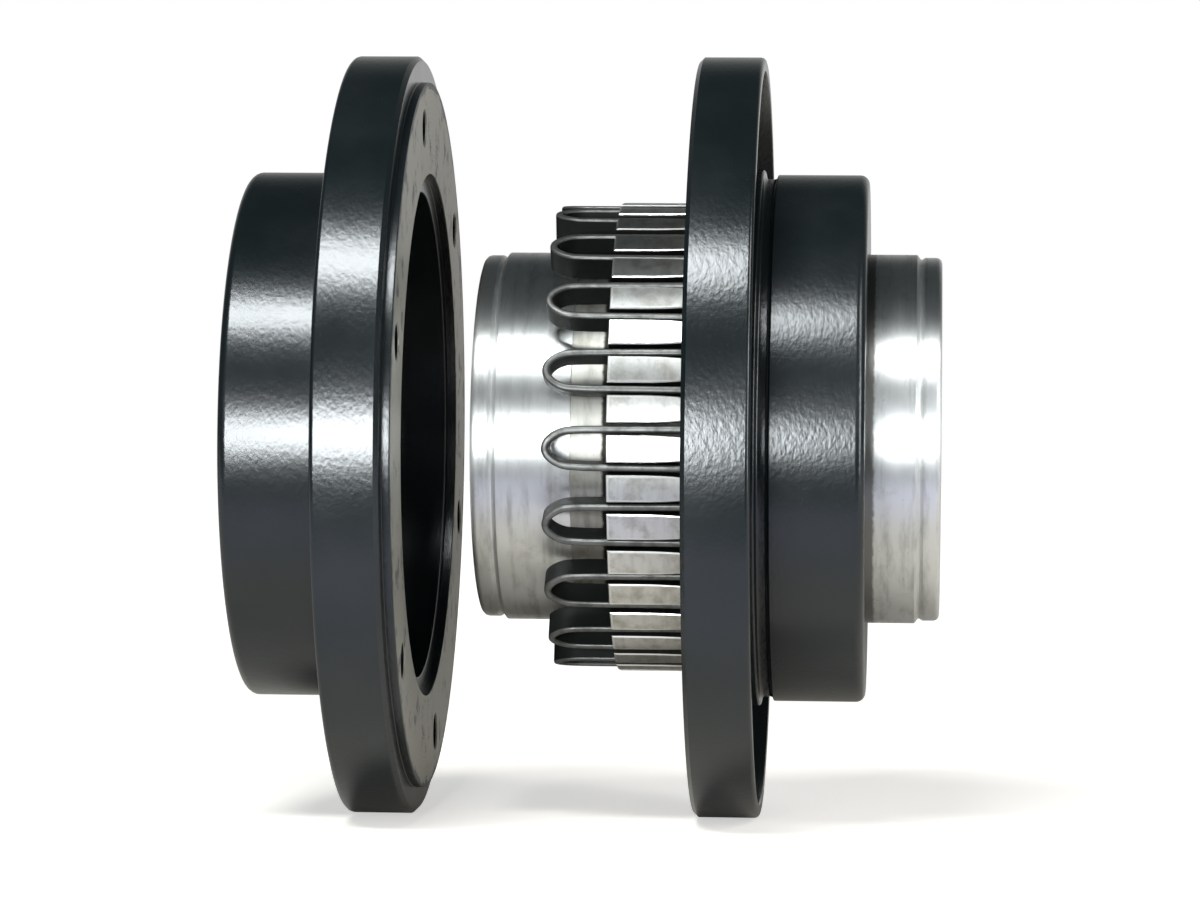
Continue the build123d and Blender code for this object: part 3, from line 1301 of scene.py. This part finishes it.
@dataclass
class Hub(SidePiece):
    """A hub with a turned boss and flared tooth slots, measured from its face at the gap."""

    cover_end: float
    bore: float = 27.5
    slot_floor: float = 50.5
    tooth_radius: float = 58.65
    tooth_length: float = 21.4
    top_depth: float = 1.2
    neck: float = 45.6
    land_start: float = 31.0
    land: float = 46.05
    groove: float = 50.3
    groove_half: float = 1.0
    groove_radius: float = 44.75
    nose: float = 45.35
    length: float = 55.5
    slot_count: int = 38
    slot_phase: float = -1.66
    slot_half: float = 1.5
    slot_straight: float = 8.0
    flare_radius: float = 120.0
    tooth_edge: float = 0.3
    key_width: float = 16.0
    key_depth: float = 4.3
    key_angle: float = 178.34
    screw_from_end: float = 10.5
    screw_radius: float = 4.0
    screw_edge: float = 0.5
    flare_steps: int = 8
    steps_per_tooth: int = 6
    smooth_angle: float = 40.0
    # how far off a face's place may be and still count, in its slots and at its neck
    slack: float = 0.1
    floor_slack: float = 0.4
    clear_of_bore: float = 5.0
    clear_of_floor: float = 1.0
    # the texture space in metres: long on X, so that the grain runs round the shaft all over
    grain_space: Place = (10.0, 0.1, 0.1)

    @property
    def screw_x(self) -> float:
        """Where the set screw stands along the shaft."""
        return self.out(self.length - self.screw_from_end)

    @property
    def tooth_top(self) -> float:
        """The radius beyond which a face belongs to a tooth's top."""
        return self.tooth_radius - self.top_depth

    def profile(self) -> list[Corner]:
        """The half section's corners, from the bore at the gap face outwards and back.

        Returns:
            The corners, at their places along the shaft.
        """
        corners = [
            Corner(0, self.bore, 1.0, 1),
            Corner(0, self.tooth_radius, 0.3, 2),
            Corner(self.tooth_length, self.tooth_radius, 0.6, 2),
            Corner(self.tooth_length, self.neck, 0.4, 3),
            Corner(self.land_start, self.neck),
            Corner(self.land_start, self.land, 0.1, 2),
            Corner(self.groove - self.groove_half, self.land, 0.15, 2),
            Corner(self.groove, self.groove_radius, 0.2, 2),
            Corner(self.groove + self.groove_half, self.nose, 0.1, 2),
            Corner(self.length, self.nose, 1.5, 3),
            Corner(self.length, self.bore, 1.0, 1),
        ]
        return self.placed(corners)

    def slot_cutter(self) -> bpy.types.Object:
        """All the tooth slots as a cutter: flared towards the gap, with broken top edges.

        Returns:
            The cutter, a closed shell.
        """
        bend = self.tooth_length - self.slot_straight
        sweep = asin((bend + PAST) / self.flare_radius)
        half = [(self.tooth_length + PAST, self.slot_half)]
        for k in range(self.flare_steps + 1):
            angle = sweep * k / self.flare_steps
            across = self.slot_half + self.flare_radius * (1 - cos(angle))
            half.append((bend - self.flare_radius * sin(angle), across))
        outline = half + [(x, -z) for x, z in reversed(half)]
        places = [(self.out(x), -self.slot_floor, z) for x, z in outline]
        cutter = start_wire("slots", places[0])
        run_wire(places + places[:1])
        merge_all()
        bpy.ops.mesh.edge_face_add()
        rise = self.tooth_radius - self.tooth_edge - self.slot_floor
        widen = PAST + 2 * self.tooth_edge
        for step in (rise, widen):
            bpy.ops.mesh.extrude_region_move(TRANSFORM_OT_translate={"value": (0, -step * MM, 0)})
        top = -(self.slot_floor + rise + widen)
        self.widen_top(cutter, top, widen)
        close_shell()
        leave_edit()
        return ring_of(cutter, spread(self.slot_count, self.slot_phase))

    def widen_top(self, cutter: bpy.types.Object, top: float, amount: float) -> None:
        """Move the cutter's upper and lower top edges apart, for a chamfer along each tooth.

        Args:
            cutter: the cutter in edit mode.
            top: where its top face is, along Y.
            amount: how far each edge moves.
        """
        for way in (-1, 1):
            select_vertices(cutter, lambda co: abs(co.y - top) < 0.01 and co.z * way > 0)
            bpy.ops.transform.translate(value=(0, 0, way * amount * MM))

    def key_cutter(self) -> bpy.types.Object:
        """The key slot as a cutter through the whole bore.

        Returns:
            The cutter, a closed shell.
        """
        depth = self.bore + self.key_depth
        bpy.ops.object.select_all(action="DESELECT")
        bpy.ops.mesh.primitive_cube_add(
            size=MM,
            location=(self.out(self.length / 2) * MM, -depth / 2 * MM, 0),
            scale=(self.length + 2 * PAST, depth, self.key_width),
        )
        cutter = bpy.context.object
        settle()
        return ring_of(cutter, [self.key_angle])

    def screw_cutter(self) -> bpy.types.Object:
        """The set screw's hole as a cutter, its edge broken.

        Returns:
            The cutter, a closed shell.
        """
        radius, edge = self.screw_radius, self.screw_edge
        cutter = turned(
            "screw_hole",
            [
                Corner(self.bore, 0),
                Corner(self.bore, radius),
                Corner(self.land - edge, radius),
                Corner(self.land + edge, radius + 2 * edge),
                Corner(self.land + edge, 0),
            ],
            FINE_STEPS,
            closed=False,
        )
        stand_radially(cutter, self.screw_x)
        return ring_of(cutter, [self.key_angle])

    def in_slot(self, place: Vector, normal: Vector) -> bool:
        """Whether a face is a slot's floor or one of its walls.

        Args:
            place: the face's middle, in millimetres.
            normal: which way it faces.

        Returns:
            Whether it is.
        """
        radius = from_axis(place)
        sideways = abs(normal.z * place.y - normal.y * place.z) / radius > 0.8
        low, high = self.slot_floor - self.slack, self.tooth_radius - self.tooth_edge
        on_floor = abs(radius - self.slot_floor) < self.floor_slack and abs(normal.x) < 0.2
        return sideways and low < radius < high or on_floor

    def on_neck(self, place: Vector, normal: Vector) -> bool:
        """Whether a face is on the neck between the teeth and the land.

        Args:
            place: the face's middle, in millimetres.
            normal: which way it faces.

        Returns:
            Whether it is.
        """
        ends = [self.out(x - self.slack) for x in (self.tooth_length, self.land_start)]
        low, high = self.bore + self.clear_of_bore, self.slot_floor + self.clear_of_floor
        return min(ends) < place.x < max(ends) and low < from_axis(place) < high

    def build(self, finishes: Finishes) -> bpy.types.Object:
        """Model and dress the hub.

        Args:
            finishes: the materials.

        Returns:
            The finished piece, which rides on its body.
        """
        word, foot = self.side.word, self.out(self.tooth_length)
        steps = self.slot_count * self.steps_per_tooth
        piece = turned(f"turned_hub_{word}", self.profile(), steps)
        cut_out(piece, self.slot_cutter(), self.key_cutter(), self.screw_cutter())
        smooth(piece, self.smooth_angle)
        piece.data.use_auto_texspace = False
        piece.data.texspace_location = (self.out(self.length / 2) * MM, 0, 0)
        piece.data.texspace_size = self.grain_space
        # the boss darkens next to the cover's end and the neck at the teeth's foot: painted shade
        # with some oily dirt
        boss_steel = replace(BOSS_STEEL, name=f"turned_steel_{word}", corner_x=self.cover_end)
        shaded_neck_steel = replace(SHADED_NECK_STEEL, name=f"dull_steel_{word}", corner_x=foot)
        tooth_steel = replace(
            TOOTH_STEEL,
            name=f"tooth_steel_{word}",
            pitch=360 / self.slot_count,
            phase=self.slot_phase,
            slot_half=self.slot_half,
            radius=self.tooth_radius,
            ends=(self.start_x, foot),
        )
        assign(
            piece,
            (boss_steel.material(), None),
            (shaded_neck_steel.material(), self.on_neck),
            (tooth_steel.material(), lambda place, normal: from_axis(place) > self.tooth_top),
            # slot walls and floors near black: painted shade with some grease
            (finishes.slots, self.in_slot),
        )
        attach(piece, f"{self.side.word}_hub")
        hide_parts(f"hub_{self.side.word}")
        return piece


@dataclass
class SerpentineSpring:
    """The strip that winds to and fro through the slots, modelled flat and wrapped round the hubs.

    The flat pattern lies on the strip's outer surface: X along the shaft, Z round it.
    """

    centre_x: float
    outer: float = 57.8
    height: float = 7.0
    thickness: float = 1.8
    legs: int = 38
    phase: float = -1.66
    leg_end: float = 25.69
    leg_pinch: float = 0.2
    twist: float = 3.4
    half_width: float = 4.413
    tip_radius: float = 2.913
    flank_rise: float = 3.1
    tail: float = 2.51
    edge: float = 0.62
    edge_steps: int = 3
    edge_angle: float = 60.0
    leg_steps: int = 10
    bend_steps: int = 6
    smooth_angle: float = 35.0

    @property
    def pitch(self) -> float:
        """From one leg to the next, round the strip's outer surface."""
        return 2 * pi * self.outer / self.legs

    def bend(self) -> list[tuple[float, float]]:
        """A bend's points beyond the leg's end, from its upper flank over the tip to the lower.

        Returns:
            The points, as (x, z).
        """
        flank = self.half_width + self.flank_rise
        join = asin(self.flank_rise / (flank - self.tip_radius))
        shift = (flank - self.tip_radius) * cos(join)
        start = self.leg_end + self.twist
        upper, steps, tip = [], self.bend_steps, self.tip_radius
        for k in range(steps + 1):
            angle = pi / 2 - (pi / 2 - join) * k / steps
            upper.append((start + flank * cos(angle), flank * sin(angle) - self.flank_rise))
        for k in range(1, steps + 1):
            angle = join * (1 - k / steps)
            upper.append((start + shift + tip * cos(angle), tip * sin(angle)))
        return upper + [(x, -z) for x, z in reversed(upper[:-1])]

    def wire(
        self, name: str, points: Sequence[tuple[float, float]], count: int
    ) -> bpy.types.Object:
        """Run a wire through flat points and repeat it down the pattern.

        Args:
            name: the new object's name.
            points: the run, as (x, z).
            count: how many times it stands in the pattern, two pitches apart.

        Returns:
            The wires as one object.
        """
        places = [(x, 0.0, z) for x, z in points]
        piece = start_wire(name, places[0])
        run_wire(places)
        leave_edit()
        apply_modifier(
            piece,
            "ARRAY",
            count=count,
            use_relative_offset=False,
            use_constant_offset=True,
            constant_offset_displace=(0, 0, -2 * self.pitch * MM),
        )
        return piece

    def flat(self) -> bpy.types.Object:
        """The whole strip's centre line, laid out flat.

        Returns:
            The line as a mesh of edges, in edit mode.
        """
        half, pinch = self.pitch / 2, self.leg_pinch
        middle = -self.outer * radians(self.phase) - half
        along = [1 - 2 * k / self.leg_steps for k in range(self.leg_steps + 1)]
        leg = [(self.leg_end * share, half + pinch * share) for share in along]
        bend = self.bend()
        left = leg + [(-x, z) for x, z in bend] + [(x, -z) for x, z in reversed(leg)]
        right = [(self.leg_end, half - pinch), *bend, (self.leg_end, pinch - half)]
        pairs = self.legs // 2
        hairpins = self.wire("strip", [(x, z + middle) for x, z in left], pairs)
        lower = middle - self.pitch
        returns = self.wire("returns", [(x, z + lower) for x, z in right], pairs - 1)
        piece = joined([hairpins, returns])
        edit(piece)
        merge_all()
        top = middle + half + pinch
        bottom = middle - (self.legs - 2) * self.pitch - half - pinch
        for end in (top, bottom):
            select_vertices(piece, near([(self.leg_end, 0.0, end)]))
            step = (self.tail * MM, 0, 0)
            bpy.ops.mesh.extrude_vertices_move(TRANSFORM_OT_translate={"value": step})
        return piece

    def build(self, finishes: Finishes) -> bpy.types.Object:
        """Model and dress the spring.

        Args:
            finishes: the materials.

        Returns:
            The finished piece.
        """
        piece = self.flat()
        piece.name = piece.data.name = "wound_strip"
        bpy.ops.mesh.select_all(action="SELECT")
        bpy.ops.mesh.extrude_edges_move(TRANSFORM_OT_translate={"value": (0, self.height * MM, 0)})
        close_shell()
        leave_edit()
        apply_modifier(
            piece,
            "SOLIDIFY",
            thickness=self.thickness * MM,
            offset=0.0,
            use_even_offset=True,
            use_quality_normals=True,
        )
        apply_modifier(
            piece,
            "BEVEL",
            width=self.edge * MM,
            segments=self.edge_steps,
            limit_method="ANGLE",
            angle_limit=radians(self.edge_angle),
        )
        heights = [v.co.z for v in piece.data.vertices]
        turn = (max(heights) - min(heights)) / (self.outer * MM)
        apply_modifier(piece, "SIMPLE_DEFORM", deform_method="BEND", deform_axis="X", angle=turn)
        edit(piece)
        bpy.ops.transform.translate(value=(self.centre_x * MM, -self.outer * MM, 0))
        leave_edit()
        smooth(piece, self.smooth_angle)
        assign(piece, (finishes.spring, None))
        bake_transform(piece)
        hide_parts("grid_spring")
        return piece


# The studio

COOL = (0.92, 0.975, 1.0)
# how far the floor lies under the flanges, in metres
FLOOR_GAP = 0.0005


@dataclass
class SoftBox:
    """A soft lamp that faces the coupling."""

    name: str
    place: Place
    size: tuple[float, float]
    radiance: float
    colour: Colour = (1.0, 1.0, 1.0)

    def build(self, target: Vector) -> bpy.types.Object:
        """Set the lamp up.

        Args:
            target: what it faces.

        Returns:
            The lamp.
        """
        lamp = bpy.data.lights.new(self.name, "AREA")
        lamp.shape = "RECTANGLE"
        lamp.size, lamp.size_y = self.size
        lamp.energy = self.radiance * pi * self.size[0] * self.size[1]
        lamp.color = self.colour
        box = bpy.data.objects.new(self.name, lamp)
        bpy.context.scene.collection.objects.link(box)
        box.location = self.place
        box.rotation_euler = (target - Vector(self.place)).to_track_quat("-Z", "Y").to_euler()
        return box


@dataclass
class Studio:
    """The floor, the lamps, the surroundings and the camera."""

    floor_z: float
    azimuth: float = 3.97
    roll: float = 0.519
    distance: float = 1.15
    target: Place = (-0.057594, 0.0, -0.003417)
    focal: float = 137.29
    sensor: float = 36.0
    floor_size: float = 12.0
    floor_front: float = 0.3
    floor_under: Colour = (0.83, 0.775, 0.7)
    floor_before: Colour = (0.84, 0.82, 0.95)
    floor_edge: Colour = (0.3, 0.31, 0.33)
    floor_changes: tuple[float, float] = (60.0, 150.0)
    floor_ends: tuple[float, float] = (165.0, 240.0)
    shadow_x: float = -60.0
    shadow_fades: tuple[float, float] = (350.0, 1500.0)
    shadow_glow: float = 0.55
    white_glow: float = 0.45
    edge_glow: float = 0.4
    room_turns: tuple[float, float] = (-0.35, 0.25)
    room_narrows: tuple[float, float] = (0.5, 0.9)
    room_front: tuple[tuple[float, Colour], ...] = (
        (0.47, (0.05, 0.052, 0.06)),
        (0.5, (0.5, 0.51, 0.55)),
        (0.63, (0.4, 0.41, 0.43)),
        (0.73, (0.08, 0.09, 0.095)),
        (0.87, (0.03, 0.038, 0.041)),
    )
    room_sides: Colour = (0.055, 0.057, 0.06)
    room_back: tuple[tuple[float, Colour], ...] = (
        (0.47, (0.05, 0.05, 0.05)),
        (0.5, (0.9, 0.9, 0.9)),
        (0.57, (0.7, 0.7, 0.7)),
        (0.64, (0.44, 0.44, 0.43)),
        (0.73, (0.14, 0.15, 0.15)),
        (0.82, (0.035, 0.042, 0.045)),
    )
    lamps: tuple[SoftBox, ...] = (
        SoftBox("front_box", (-0.4, -2.0, -0.02), (0.6, 0.5), 36.0, COOL),
        SoftBox("upper_box", (-0.4, -1.1, 1.39), (0.78, 0.4), 29.0, COOL),
        SoftBox("right_box", (1.15, -0.6, 1.1), (0.6, 0.6), 6.0),
        SoftBox("right_strip", (1.5, -0.9, 0.25), (0.5, 1.1), 9.0, COOL),
    )

    def camera(self) -> None:
        """Set the camera up where the photograph was taken from."""
        azimuth, roll = radians(self.azimuth), radians(self.roll)
        right = Vector((cos(azimuth), sin(azimuth), 0))
        up = Vector((0, 0, 1))
        back = Vector((sin(azimuth), -cos(azimuth), 0))
        across = right * cos(roll) + up * sin(roll)
        upright = up * cos(roll) - right * sin(roll)
        turn = Matrix((across, upright, back)).transposed().to_4x4()
        data = bpy.data.cameras.new("camera")
        data.sensor_fit = "HORIZONTAL"
        data.sensor_width = self.sensor
        data.lens = self.focal
        camera = bpy.data.objects.new("camera", data)
        bpy.context.scene.collection.objects.link(camera)
        camera.matrix_world = Matrix.Translation(Vector(self.target) + back * self.distance) @ turn
        bpy.context.scene.camera = camera

    def surroundings(self) -> None:
        """A white background to the camera, and a plain room with a dark ceiling to all else."""
        world = bpy.data.worlds.new("room")
        bpy.context.scene.world = world
        graph = Graph(world)
        x, y, z = graph.axes(graph.out("ShaderNodeTexCoord", "Generated"))
        height = z * 0.5 + 0.5
        before = graph.gradient(height, self.room_front)
        behind = graph.gradient(height, self.room_back)
        seen = graph.mix(y.ramp(*self.room_turns), before, behind)
        seen = graph.mix(((x * x) ** 0.5).ramp(*self.room_narrows), seen, self.room_sides)
        seen = graph.mix(graph.out("ShaderNodeLightPath", "Is Camera Ray"), seen, (1.0, 1.0, 1.0))
        background = graph.out("ShaderNodeBackground", 0, {}, {"Color": seen})
        graph.node("ShaderNodeOutputWorld", {}, {"Surface": background})

    def floor(self) -> None:
        """A pale floor just under the flanges, white to the camera but for the shadow.

        It ends in front of the coupling like a table, so that the low lamp shines over its edge.
        """
        bpy.ops.object.select_all(action="DESELECT")
        middle = self.floor_size / 2 - self.floor_front
        bpy.ops.mesh.primitive_plane_add(size=self.floor_size, location=(0, middle, self.floor_z))
        floor = bpy.context.object
        floor.name = "floor"
        graph = Graph.of("pale_floor")
        x, from_middle, _ = graph.axes(graph.place())
        y = from_middle + middle / MM
        away = ((x - self.shadow_x) ** 2 + y * y) ** 0.5
        before, dark = (y * -1).ramp(*self.floor_changes), (y * -1).ramp(*self.floor_ends)
        colour = graph.mix(before, self.floor_under, self.floor_before)
        colour = graph.mix(dark, colour, self.floor_edge)
        plain = graph.out("ShaderNodeBsdfDiffuse", 0, {}, {"Color": colour})
        shadow = away.ramp(*self.shadow_fades)
        white = shadow * self.white_glow + dark * self.edge_glow + self.shadow_glow
        glow = graph.out("ShaderNodeEmission", 0, {}, {"Color": (1, 1, 1, 1), "Strength": white})
        seen = graph.out("ShaderNodeAddShader", 0, {}, {0: plain, 1: glow})
        camera = graph.out("ShaderNodeLightPath", "Is Camera Ray")
        surface = graph.out("ShaderNodeMixShader", 0, {}, {0: camera, 1: plain, 2: seen})
        graph.node("ShaderNodeOutputMaterial", {}, {"Surface": surface})
        floor.data.materials.append(graph.owner)

    def build(self) -> None:
        """Set the whole studio up."""
        self.camera()
        self.surroundings()
        self.floor()
        for lamp in self.lamps:
            lamp.build(Vector((self.target[0], 0, 0)))
        bpy.context.scene.view_settings.view_transform = "Standard"


def millimetres(node: str) -> tuple[Vector, Vector]:
    """The lowest and highest corners of a CAD node, in millimetres."""
    low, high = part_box(node)
    return low / MM, high / MM


def main() -> None:
    """Build every piece of the coupling, then the studio."""
    finishes = Finishes.made()
    plug = SocketScrew(diameter=9.6, length=4.2, top=65.3, across=5.0, depth=2.6)
    set_screw = SocketScrew(diameter=7.9, length=10.0, top=45.05, across=4.0, depth=4.0)
    register_height = 2.1
    joints = {
        Side.LEFT: millimetres("cover_left")[1].x - register_height,
        Side.RIGHT: millimetres("cover_right")[0].x,
    }
    covers = {
        Side.LEFT: CoverHalf(Side.LEFT, joints[Side.LEFT], -register_height, 88.5),
        Side.RIGHT: CoverHalf(Side.RIGHT, joints[Side.RIGHT], register_height + 0.5, 88.8),
    }
    gap_faces = {Side.LEFT: millimetres("hub_left")[1].x, Side.RIGHT: millimetres("hub_right")[0].x}
    pieces = []
    for side, cover in covers.items():
        pieces += [cover.build(finishes), LipSeal(side, joints[side]).build(finishes)]
        plugs = plug.model(f"socket_plugs_{side.word}", cover.out(cover.plug_x), cover.plug_angles)
        assign(plugs, (finishes.screw, None))
        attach(plugs, f"{side.word}_cover")
        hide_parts(f"grease_plugs_{side.word}")
        hub = Hub(side, gap_faces[side], cover.out(cover.length))
        pieces += [plugs, hub.build(finishes)]
        screw = set_screw.model(f"grub_screw_{side.word}", hub.screw_x, [hub.key_angle])
        assign(screw, (finishes.screw, None))
        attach(screw, f"{side.word}_hub")
        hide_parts(f"set_screw_{side.word}")
        pieces.append(screw)
    low, high = millimetres("grid_spring")
    pieces.append(SerpentineSpring((low.x + high.x) / 2).build(finishes))
    for piece in pieces:
        log.info("%s: %d faces", piece.name, len(piece.data.polygons))
    assign(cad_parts["gasket"], (finishes.paper, None))
    Studio(floor_z=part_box("cover_left")[0].z - FLOOR_GAP).build()


if __name__ == "__main__":
    logging.basicConfig(level=logging.INFO, format="%(name)s: %(message)s")
    main()
